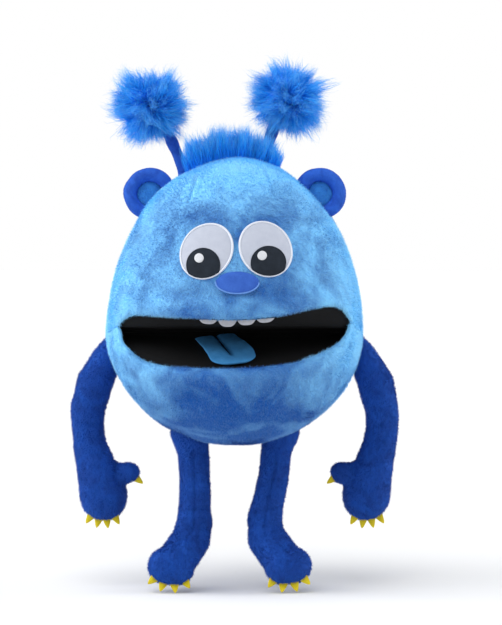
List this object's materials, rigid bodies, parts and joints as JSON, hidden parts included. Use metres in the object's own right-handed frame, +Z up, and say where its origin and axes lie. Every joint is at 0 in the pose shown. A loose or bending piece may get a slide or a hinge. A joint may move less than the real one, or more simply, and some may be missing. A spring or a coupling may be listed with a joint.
{
  "type": "moving mouth hand puppet",
  "caption": "Plush round monster hand puppet with a mouth that opens and shuts, a fur tuft, fur pompoms on stalks, round ears and dangling clawed arms and legs.",
  "frame": {"origin": "centre of the round hand opening in the puppet's back, 2 mm inside the cuff's rear edge", "axes": "+Z up, +Y out of the hand opening along the puppeteer's wrist, so the face looks along -Y; +X is the puppet's own left"},
  "size_m": [0.237, 0.1927, 0.398],
  "materials": {
    "body_plush": "short pile plush, mottled",
    "limb_plush": "short pile plush, dark",
    "ear_plush": "short pile plush, dark",
    "ear_lining_plush": "short pile plush",
    "hair_fur": "long pile fur",
    "stuffing": "loose polyester fibre",
    "black_felt": "matt felt",
    "mouth_board": "stiffened fibre board",
    "tongue_felt": "soft felt",
    "tooth_felt": "felt",
    "eye_white_felt": "felt with satin stitch",
    "pupil_felt": "felt",
    "glint_felt": "satin stitch",
    "nose_felt": "satin stitch",
    "claw_felt": "felt",
    "lining_cloth": "woven lining",
    "cuff_knit": "ribbed knit"
  },
  "bodies": {
    "head": {"head_skin": "body_plush", "crown_stuffing": "stuffing", "muzzle_stuffing": "stuffing", "back_stuffing": "stuffing", "upper_mouth_board": "mouth_board", "upper_palate": "black_felt", "finger_pocket": "lining_cloth", "palm_sleeve": "lining_cloth", "opening_cuff": "cuff_knit", "mouth_fold": "black_felt", "teeth": "tooth_felt", "nose": "nose_felt", "hair_tuft": "hair_fur", "right_eye_white": "eye_white_felt", "right_pupil": "pupil_felt", "right_eye_glint": "glint_felt", "right_ear": "ear_plush", "right_ear_lining": "ear_lining_plush", "right_ear_stuffing": "stuffing", "left_eye_white": "eye_white_felt", "left_pupil": "pupil_felt", "left_eye_glint": "glint_felt", "left_ear": "ear_plush", "left_ear_lining": "ear_lining_plush", "left_ear_stuffing": "stuffing"},
    "jaw": {"jaw_skin": "body_plush", "jaw_stuffing": "stuffing", "lower_mouth_board": "mouth_board", "lower_palate": "black_felt", "thumb_pocket": "lining_cloth"},
    "tongue": {"tongue": "tongue_felt"},
    "right_antenna": {"right_antenna_sleeve": "limb_plush", "right_antenna_stuffing": "stuffing", "right_pompom_fur": "hair_fur", "right_pompom_stuffing": "stuffing"},
    "right_upper_arm": {"right_upper_arm_skin": "limb_plush", "right_upper_arm_stuffing": "stuffing"},
    "right_forearm": {"right_forearm_skin": "limb_plush", "right_forearm_stuffing": "stuffing", "right_hand_claws": "claw_felt"},
    "right_leg": {"right_leg_skin": "limb_plush", "right_leg_stuffing": "stuffing"},
    "right_foot": {"right_foot_skin": "limb_plush", "right_foot_stuffing": "stuffing", "right_foot_claws": "claw_felt"},
    "left_antenna": {"left_antenna_sleeve": "limb_plush", "left_antenna_stuffing": "stuffing", "left_pompom_fur": "hair_fur", "left_pompom_stuffing": "stuffing"},
    "left_upper_arm": {"left_upper_arm_skin": "limb_plush", "left_upper_arm_stuffing": "stuffing"},
    "left_forearm": {"left_forearm_skin": "limb_plush", "left_forearm_stuffing": "stuffing", "left_hand_claws": "claw_felt"},
    "left_leg": {"left_leg_skin": "limb_plush", "left_leg_stuffing": "stuffing"},
    "left_foot": {"left_foot_skin": "limb_plush", "left_foot_stuffing": "stuffing", "left_foot_claws": "claw_felt"}
  },
  "joints": [
    {"name": "jaw_open", "type": "hinge", "parent": "head", "child": "jaw", "pos_m": [0, -0.1135, 0], "axis": [1, 0, 0], "range_deg": [-23.5, 12], "stiffness_Nm_per_rad": 0.8},
    {"name": "tongue_lift", "type": "hinge", "parent": "jaw", "child": "tongue", "pos_m": [-0.011, -0.1164, -0.0032], "axis": [-1, 0, 0], "range_deg": [0, 18]},
    {"name": "right_antenna_sway", "type": "hinge", "parent": "head", "child": "right_antenna", "pos_m": [-0.03876, -0.07558, 0.12174], "axis": [1, 0, 0], "range_deg": [-30, 10], "stiffness_Nm_per_rad": 0.03},
    {"name": "right_shoulder", "type": "hinge", "parent": "head", "child": "right_upper_arm", "pos_m": [-0.09696, -0.06801, -0.02698], "axis": [-1, 0, 0], "range_deg": [-30, 50], "stiffness_Nm_per_rad": 0.01},
    {"name": "right_elbow", "type": "hinge", "parent": "right_upper_arm", "child": "right_forearm", "pos_m": [-0.1085, -0.06801, -0.0705], "axis": [-1, 0, 0], "range_deg": [-15, 30], "stiffness_Nm_per_rad": 0.01},
    {"name": "right_hip", "type": "hinge", "parent": "jaw", "child": "right_leg", "pos_m": [-0.03552, -0.0955, -0.09161], "axis": [-1, 0, 0], "range_deg": [-30, 60], "stiffness_Nm_per_rad": 0.02},
    {"name": "right_ankle", "type": "hinge", "parent": "right_leg", "child": "right_foot", "pos_m": [-0.0307, -0.0955, -0.146], "axis": [-1, 0, 0], "range_deg": [-15, 25], "stiffness_Nm_per_rad": 0.02},
    {"name": "left_antenna_sway", "type": "hinge", "parent": "head", "child": "left_antenna", "pos_m": [0.02159, -0.07553, 0.12902], "axis": [1, 0, 0], "range_deg": [-30, 10], "stiffness_Nm_per_rad": 0.03},
    {"name": "left_shoulder", "type": "hinge", "parent": "head", "child": "left_upper_arm", "pos_m": [0.09696, -0.06801, -0.02698], "axis": [-1, 0, 0], "range_deg": [-30, 50], "stiffness_Nm_per_rad": 0.01},
    {"name": "left_elbow", "type": "hinge", "parent": "left_upper_arm", "child": "left_forearm", "pos_m": [0.1085, -0.06801, -0.0705], "axis": [-1, 0, 0], "range_deg": [-15, 30], "stiffness_Nm_per_rad": 0.01},
    {"name": "left_hip", "type": "hinge", "parent": "jaw", "child": "left_leg", "pos_m": [0.03552, -0.0955, -0.09161], "axis": [-1, 0, 0], "range_deg": [-30, 60], "stiffness_Nm_per_rad": 0.02},
    {"name": "left_ankle", "type": "hinge", "parent": "left_leg", "child": "left_foot", "pos_m": [0.0215, -0.0955, -0.146], "axis": [-1, 0, 0], "range_deg": [-15, 25], "stiffness_Nm_per_rad": 0.02}
  ]
}
